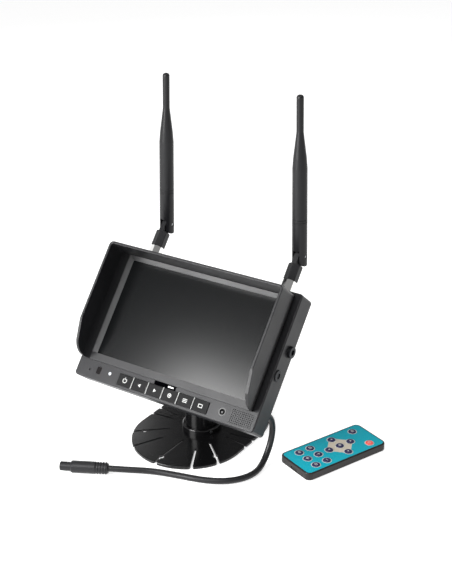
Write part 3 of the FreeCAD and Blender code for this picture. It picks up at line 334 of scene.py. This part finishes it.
def make_materials(colours):
    return {
        "case_black": moulded_plastic("case ABS satin", colours.case, 0.36, 0.55, 0.03, sheen=0.25),
        "hood_black": moulded_plastic("hood ABS satin", "#131315", 0.40, 0.55, 0.03, sheen=0.38),
        "knob_black": moulded_plastic("knob nylon", "#171718", 0.50, 0.7, 0.05),
        "key_black": moulded_plastic("key ABS", "#0c0c0d", 0.50, 0.45, 0.02, sheen=0.12),
        "speaker_black": moulded_plastic("speaker shell", "#121213", 0.55, 0.7, 0.04),
        "antenna_black": moulded_plastic("antenna TPU", "#0f0f11", 0.36, 0.5, 0.02, sheen=0.26),
        "remote_black": moulded_plastic("remote ABS", "#191716", 0.42, 0.5, 0.03, sheen=0.3),
        "remote_key_navy": moulded_plastic("remote key navy", "#241f47", 0.38, 0.4, 0.015),
        "remote_key_red": moulded_plastic("remote key red", "#e0574f", 0.38, 0.4, 0.015),
        "stand_black": polished_plastic("stand ABS gloss", colours.stand, 0.18, 0.40),
        "display_dark": polished_plastic("display film", "#08080a"),
        "infra_red_filter": polished_plastic("infra-red filter", "#070304", 0.22, 0.16),
        "led_white": polished_plastic("light pipe", "#c8ccd2"),
        "lens_black": polished_plastic("sensor dome", "#030304", 0.06, 0.22),
        # Near-black, matt sheet lining the pocket of the latch: painted shade in the recess.
        "pocket_painted_shade": moulded_plastic("latch pocket painted shade", "#020203", 0.80, 0.45, 0.02, sheen=0.0),
        # Near-white bar on the latch's lip: a painted glint.
        "painted_glint_white": polished_plastic("latch lip painted glint", "#e9e9e6", 0.25),
        "board_green": polished_plastic("solder mask", "#12472b"),
        "screen_glass": screen_front("cover glass anti-glare"),
        "steel_screw": bright_metal("zinc-plated steel", "#b4b6b8", 0.30, 0.4),
        "screw_black": bright_metal("black oxide steel", "#26272a", 0.38, 0.4, 0.85),
        "chrome_nut": bright_metal("nickel plate", "#f4f4f2", 0.05, 0.6),
        "cell_steel": bright_metal("coin cell steel", "#c9c9c6", 0.24, 0.5),
        "lead_rubber": soft_rubber("PVC jacket", "#19191b"),
        "remote_teal": printed_film("polycarbonate film teal", colours.film),
        "ink_light": printed_film("light ink", colours.ink),
        "ink_sand": printed_film("sand ink", "#c9bfae"),
    }


MATERIALS = {}
OWN_FINISH = {"light_sensor": "lens_black", "speaker_grille": "case_black"}  # unlike the rest of their slots


def finish_node(name):
    """Give a CAD node the finish of its material slot."""
    node = NODES[name]
    slot = next(part["material_slot"] for part in frame["record"]["subparts"] if part["node"] == name)
    node.data.materials.clear()
    node.data.materials.append(MATERIALS[OWN_FINISH.get(name, slot)])


def finish_body(*bodies):
    for body in bodies:
        for name in frame["record"]["behaviour"]["bodies"][body]:
            finish_node(name)


# ---- modelling helpers --------------------------------------------------------------------------
def deselect_all():
    if bpy.context.object and bpy.context.object.mode != "OBJECT":
        bpy.ops.object.mode_set(mode="OBJECT")
    bpy.ops.object.select_all(action="DESELECT")


def select_only(*objects):
    deselect_all()
    for obj in objects:
        obj.select_set(True)
    bpy.context.view_layer.objects.active = objects[0]


def place_piece(obj, name, place, body, material):
    """Put a flat piece, drawn in millimetres round its own origin, into the model for good."""
    obj.name = obj.data.name = name
    obj.data.transform(place @ Matrix.Scale(MM, 4))
    obj.matrix_world = Matrix.Identity(4)
    obj.data.materials.clear()
    obj.data.materials.append(MATERIALS[material])
    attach(obj, body)
    return obj


def bar(centre, length, width, angle=0.0):
    """A flat straight stroke."""
    bpy.ops.mesh.primitive_plane_add(size=1, location=(*centre, 0), rotation=(0, 0, math.radians(angle)))
    stroke = bpy.context.object
    stroke.scale = (length, width, 1)
    bpy.ops.object.transform_apply(location=True, rotation=True, scale=True)
    return stroke


def ring(centre, radius, width, gap=0.0, around=40):
    """A flat ring, with an opening of that many degrees at its top."""
    bpy.ops.mesh.primitive_circle_add(vertices=around, radius=radius, fill_type="NGON", location=(*centre, 0))
    circle = bpy.context.object
    bpy.ops.object.transform_apply(location=True, rotation=True, scale=True)
    bpy.ops.object.mode_set(mode="EDIT")
    bpy.ops.mesh.select_all(action="SELECT")
    bpy.ops.mesh.inset(thickness=width)
    bpy.ops.mesh.delete(type="FACE")
    bpy.ops.object.mode_set(mode="OBJECT")
    if gap:
        for face in circle.data.polygons:
            out = face.center.xy - Vector(centre)
            face.select = abs(math.degrees(math.atan2(out.x, out.y))) < gap / 2
        bpy.ops.object.mode_set(mode="EDIT")
        bpy.ops.mesh.select_mode(type="FACE")
        bpy.ops.mesh.delete(type="FACE")
        bpy.ops.object.mode_set(mode="OBJECT")
    return circle


def disc(centre, radius, sides=28, turn=0.0):
    bpy.ops.mesh.primitive_circle_add(
        vertices=sides, radius=radius, fill_type="NGON", location=(*centre, 0),
        rotation=(0, 0, math.radians(turn)))
    bpy.ops.object.transform_apply(location=True, rotation=True, scale=True)
    return bpy.context.object


def pierce(flat, centres, radius):
    """Cut round holes through a flat piece where keys stand in it."""
    for centre in centres:
        bpy.ops.mesh.primitive_cylinder_add(vertices=48, radius=radius, depth=2, location=(*centre, 0))
        cutter = bpy.context.object
        bpy.ops.object.transform_apply(location=True, rotation=True, scale=True)
        select_only(flat)
        hole = flat.modifiers.new("hole", "BOOLEAN")
        hole.object, hole.solver = cutter, "EXACT"
        bpy.ops.object.modifier_apply(modifier="hole")
        bpy.data.objects.remove(cutter)


def mark(kind, size, line):
    """The strokes of one generic mark, drawn about the origin."""
    half = size / 2
    if kind == "power":
        return [ring((0, 0), half, line, gap=70), bar((0, half * 0.75), size * 0.5, line, 90)]
    if kind.startswith("arrow"):
        turn = {"arrow_right": 0, "arrow_up": 90, "arrow_left": 180, "arrow_down": 270}[kind]
        return [disc((0, 0), half * 0.8, sides=3, turn=turn - 90)]
    if kind == "dot":
        return [ring((0, 0), half * 0.85, line), disc((0, 0), half * 0.32, sides=16)]
    if kind == "lines":
        return [bar((0, y), size, line) for y in (-half * 0.6, 0, half * 0.6)]
    if kind == "frame":
        return [bar((0, half * 0.6), size, line), bar((0, -half * 0.6), size, line),
                bar((-half + line / 2, 0), half * 1.2, line, 90),
                bar((half - line / 2, 0), half * 1.2, line, 90)]
    if kind == "plus":
        return [bar((0, 0), size, line), bar((0, 0), size, line, 90)]
    return [bar((0, 0), size, line)]


def remote_key_centre(name):
    """Where a key of the remote control stands, in millimetres in its frame."""
    row, column, _ = REMOTE_MARKS[name]
    return REMOTE_MIDDLE + row * REMOTE_ROW, column * REMOTE_COLUMN


def print_mark(name, strokes, place, body, ink, thickness=None):
    """Join flat strokes into one mark, give it a thickness in millimetres (the ink's, if none is given), and
    lay it on its piece."""
    select_only(*strokes)
    if len(strokes) > 1:
        bpy.ops.object.join()
    piece = bpy.context.view_layer.objects.active
    thickness = thickness or bpy.context.scene.kit_print.thickness / MM
    solid = piece.modifiers.new("ink", "SOLIDIFY")
    solid.thickness, solid.offset = thickness, 1.0
    bpy.ops.object.modifier_apply(modifier="ink")
    return place_piece(piece, name, place, body, ink)


# ---- operators ----------------------------------------------------------------------------------
class KIT_OT_studio(bpy.types.Operator):
    """Set the camera, the pale floor and the soft lights"""

    bl_idname = "kit.studio"
    bl_label = "Studio"

    def execute(self, context):
        settings = context.scene.kit_camera
        a, e = settings.azimuth, settings.elevation
        back = Vector((math.sin(a) * math.cos(e), -math.cos(a) * math.cos(e), math.sin(e)))
        data = bpy.data.cameras.new("camera")
        data.lens, data.sensor_width, data.clip_end = settings.lens, 36.0, 50.0
        camera = bpy.data.objects.new("camera", data)
        context.scene.collection.objects.link(camera)
        camera.location = CAMERA_TARGET + back * settings.distance
        upright = back.to_track_quat("Z", "Y")
        camera.rotation_euler = (upright @ Quaternion((0, 0, 1), settings.roll)).to_euler()
        context.scene.camera = camera

        deselect_all()
        bpy.ops.mesh.primitive_plane_add(size=FLOOR_SIZE, location=(0, 0, -FLOOR_DROP))
        floor = context.object
        floor.name = "floor"
        paper, _, _ = new_material(
            "white paper", Base_Color=linear("#cfcfcf"), Roughness=0.9, Emission_Color=linear("#ffffff"),
            Emission_Strength=0.70)
        floor.data.materials.append(paper)

        world = bpy.data.worlds.new("studio")
        world.use_nodes = True
        tree = world.node_tree
        tree.nodes["Background"].inputs["Color"].default_value = (1, 1, 1, 1)
        way = add_node(tree, "ShaderNodeTexCoord").outputs["Generated"]
        height = add_node(tree, "ShaderNodeSeparateXYZ", {"Vector": way}).outputs["Z"]
        horizon = add_node(tree, "ShaderNodeMapRange", {
            "Value": height, "From Min": 0.20, "From Max": 0.30, "To Min": 1.0, "To Max": 0.04})
        ceiling = add_node(tree, "ShaderNodeMapRange", {
            "Value": height, "From Min": 0.50, "From Max": 0.85, "To Min": 0.0, "To Max": 0.40})
        glow = add_node(tree, "ShaderNodeMath", operation="ADD")
        tree.links.new(horizon.outputs["Result"], glow.inputs[0])
        tree.links.new(ceiling.outputs["Result"], glow.inputs[1])
        tree.links.new(glow.outputs["Value"], tree.nodes["Background"].inputs["Strength"])
        context.scene.world = world
        context.scene.view_settings.view_transform = "Standard"

        for name, position, aim, size, power in LIGHTS:
            lamp = bpy.data.lights.new(name, "AREA")
            lamp.shape, lamp.size, lamp.energy = "SQUARE", size, power
            obj = bpy.data.objects.new(name, lamp)
            context.scene.collection.objects.link(obj)
            obj.location = position
            obj.rotation_euler = (Vector(position) - Vector(aim)).to_track_quat("Z", "Y").to_euler()
        return {"FINISHED"}


class KIT_OT_lead(bpy.types.Operator):
    """Make the soft lead along its route and finish its strain relief and plug"""

    bl_idname = "kit.lead"
    bl_label = "Lead"

    def execute(self, context):
        settings = context.scene.kit_lead
        deselect_all()
        curve = bpy.data.curves.new("lead_line", "CURVE")
        curve.dimensions = "3D"
        spline = curve.splines.new("NURBS")
        spline.points.add(len(LEAD_ROUTE) - 1)
        for point, (x, y, z) in zip(spline.points, LEAD_ROUTE):
            point.co = (x * MM, y * MM, z * MM, 1)
        spline.order_u = 3
        spline.use_endpoint_u = True
        spline.resolution_u = settings.steps
        guide = bpy.data.objects.new("lead_line", curve)
        context.scene.collection.objects.link(guide)
        context.view_layer.update()
        line = bpy.data.meshes.new_from_object(guide.evaluated_get(context.evaluated_depsgraph_get()))
        bpy.data.meshes.remove(line)
        curve.bevel_depth, curve.bevel_resolution, curve.use_fill_caps = settings.diameter / 2, 5, True
        select_only(guide)
        bpy.ops.object.convert(target="MESH")
        lead = context.object
        lead.name = lead.data.name = "lead"
        bpy.ops.object.mode_set(mode="EDIT")
        bpy.ops.mesh.select_all(action="SELECT")
        bpy.ops.mesh.remove_doubles(threshold=1e-5)
        bpy.ops.mesh.normals_make_consistent(inside=False)
        bpy.ops.object.mode_set(mode="OBJECT")
        bpy.ops.object.shade_smooth_by_angle(angle=math.radians(50))
        lead.data.materials.clear()
        lead.data.materials.append(MATERIALS["lead_rubber"])
        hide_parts("cable")
        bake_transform(lead)
        for name in ("cable_gland", "cable_plug"):
            finish_node(name)
        return {"FINISHED"}


class KIT_OT_stand(bpy.types.Operator):
    """Finish the fan base, the post, the tilt bolt and its knob"""

    bl_idname = "kit.stand"
    bl_label = "Stand"

    def execute(self, context):
        finish_body("stand_base", "clamp_knob")
        for name in ("swivel_post", "tilt_bolt"):
            finish_node(name)
        return {"FINISHED"}


class KIT_OT_monitor(bpy.types.Operator):
    """Finish the monitor's case, screen, screws, sockets and hood"""

    bl_idname = "kit.monitor"
    bl_label = "Monitor"

    def execute(self, context):
        finish_body("monitor", "hood", "latch")
        deselect_all()
        # Lay a near-black sheet just behind the face in the latch's pocket, as painted shade in the recess.
        print_mark("latch_pocket_painted_shade", [bar(POCKET_AT, *POCKET_SIZE)],
                   SCREEN @ Matrix.Translation((0, 0, -POCKET_DEPTH * MM)),
                   "hood", "pocket_painted_shade", POCKET_SHADE_SHEET)
        deselect_all()
        # Lay a near-white bar on the latch's lip, as a painted glint.
        print_mark("latch_lip_painted_glint", [bar(LIP_AT, *LIP_SIZE)],
                   SCREEN @ Matrix.Translation((0, 0, -LIP_DEPTH * MM)),
                   "latch", "painted_glint_white", LIP_THICK)
        return {"FINISHED"}


class KIT_OT_antennas(bpy.types.Operator):
    """Finish both antennas"""

    bl_idname = "kit.antennas"
    bl_label = "Antennas"

    def execute(self, context):
        for side in ("left", "right"):
            finish_body("antenna_foot_" + side, "antenna_whip_" + side)
        return {"FINISHED"}


class KIT_OT_keys(bpy.types.Operator):
    """Finish the six keys below the screen and print their marks"""

    bl_idname = "kit.keys"
    bl_label = "Monitor keys"

    def execute(self, context):
        line = context.scene.kit_print.line / MM
        for index, (key, kind) in enumerate(KEY_MARKS.items()):
            finish_node(key)
            middle = Vector(((index - 2.5) * KEY_PITCH, KEY_Y, KEY_FRONT)) * MM
            deselect_all()
            print_mark("mark_" + key, mark(kind, KEY_MARK_SIZE, line), SCREEN @ Matrix.Translation(middle),
                       key + "_cap", "ink_light")
            # A light bar between each pair of keys, in the light ink, is a painted highlight along the gap.
            if index:
                deselect_all()
                highlight_rib = bar(((index - 3) * KEY_PITCH, KEY_Y), RIB_WIDTH, RIB_LENGTH)
                print_mark("highlight_rib_" + key, [highlight_rib], SCREEN, "monitor", "ink_light", RIB_HEIGHT)
        return {"FINISHED"}


class KIT_OT_remote(bpy.types.Operator):
    """Finish the remote control and print its face and keys"""

    bl_idname = "kit.remote"
    bl_label = "Remote control"

    def execute(self, context):
        finish_body("remote", "battery_drawer")
        deselect_all()
        diamond = disc((REMOTE_MIDDLE, 0), DIAMOND_RADIUS, sides=4)
        pierce(diamond, [remote_key_centre(name) for name in DIAMOND_KEYS], DIAMOND_HOLE)
        print_mark("print_diamond", [diamond], REMOTE, "remote", "ink_sand")
        upright = Matrix.Rotation(math.radians(-90), 4, "Z")
        for name, (_, _, kind) in REMOTE_MARKS.items():
            finish_node("remote_key_" + name)
            centre = remote_key_centre(name)
            deselect_all()
            print_mark("print_ring_" + name, [ring(centre, REMOTE_RING_RADIUS, REMOTE_RING_WIDTH)],
                       REMOTE @ Matrix.Translation((0, 0, REMOTE_RING_RISE * MM)),
                       "remote", "ink_light")
            deselect_all()
            top = Vector((*centre, REMOTE_KEY_TOP)) * MM
            print_mark("mark_remote_" + name, mark(kind, REMOTE_MARK_SIZE, REMOTE_MARK_LINE),
                       REMOTE @ Matrix.Translation(top) @ upright, "remote_button_" + name,
                       "ink_light")
        return {"FINISHED"}


class KIT_PT_panel(bpy.types.Panel):
    bl_idname = "KIT_PT_panel"
    bl_label = "Monitor kit"
    bl_space_type = "VIEW_3D"
    bl_region_type = "UI"
    bl_category = "Monitor kit"

    def draw(self, context):
        for group in SETTINGS:
            box = self.layout.box()
            settings = getattr(context.scene, group)
            for name in settings.__annotations__:
                box.prop(settings, name)
        for operator in OPERATORS:
            self.layout.operator(operator.bl_idname)


OPERATORS = [
    KIT_OT_studio, KIT_OT_lead, KIT_OT_stand, KIT_OT_monitor, KIT_OT_antennas, KIT_OT_keys, KIT_OT_remote,
]


def register():
    for cls in [*SETTINGS.values(), *OPERATORS, KIT_PT_panel]:
        bpy.utils.register_class(cls)
    for name, group in SETTINGS.items():
        setattr(bpy.types.Scene, name, bpy.props.PointerProperty(type=group))


def unregister():
    for name in SETTINGS:
        delattr(bpy.types.Scene, name)
    for cls in reversed([*SETTINGS.values(), *OPERATORS, KIT_PT_panel]):
        bpy.utils.unregister_class(cls)


def main():
    register()
    MATERIALS.update(make_materials(bpy.context.scene.kit_colours))
    bpy.ops.kit.studio()
    bpy.ops.kit.lead()
    bpy.ops.kit.stand()
    bpy.ops.kit.monitor()
    bpy.ops.kit.antennas()
    bpy.ops.kit.keys()
    bpy.ops.kit.remote()


if __name__ == "__main__":
    main()
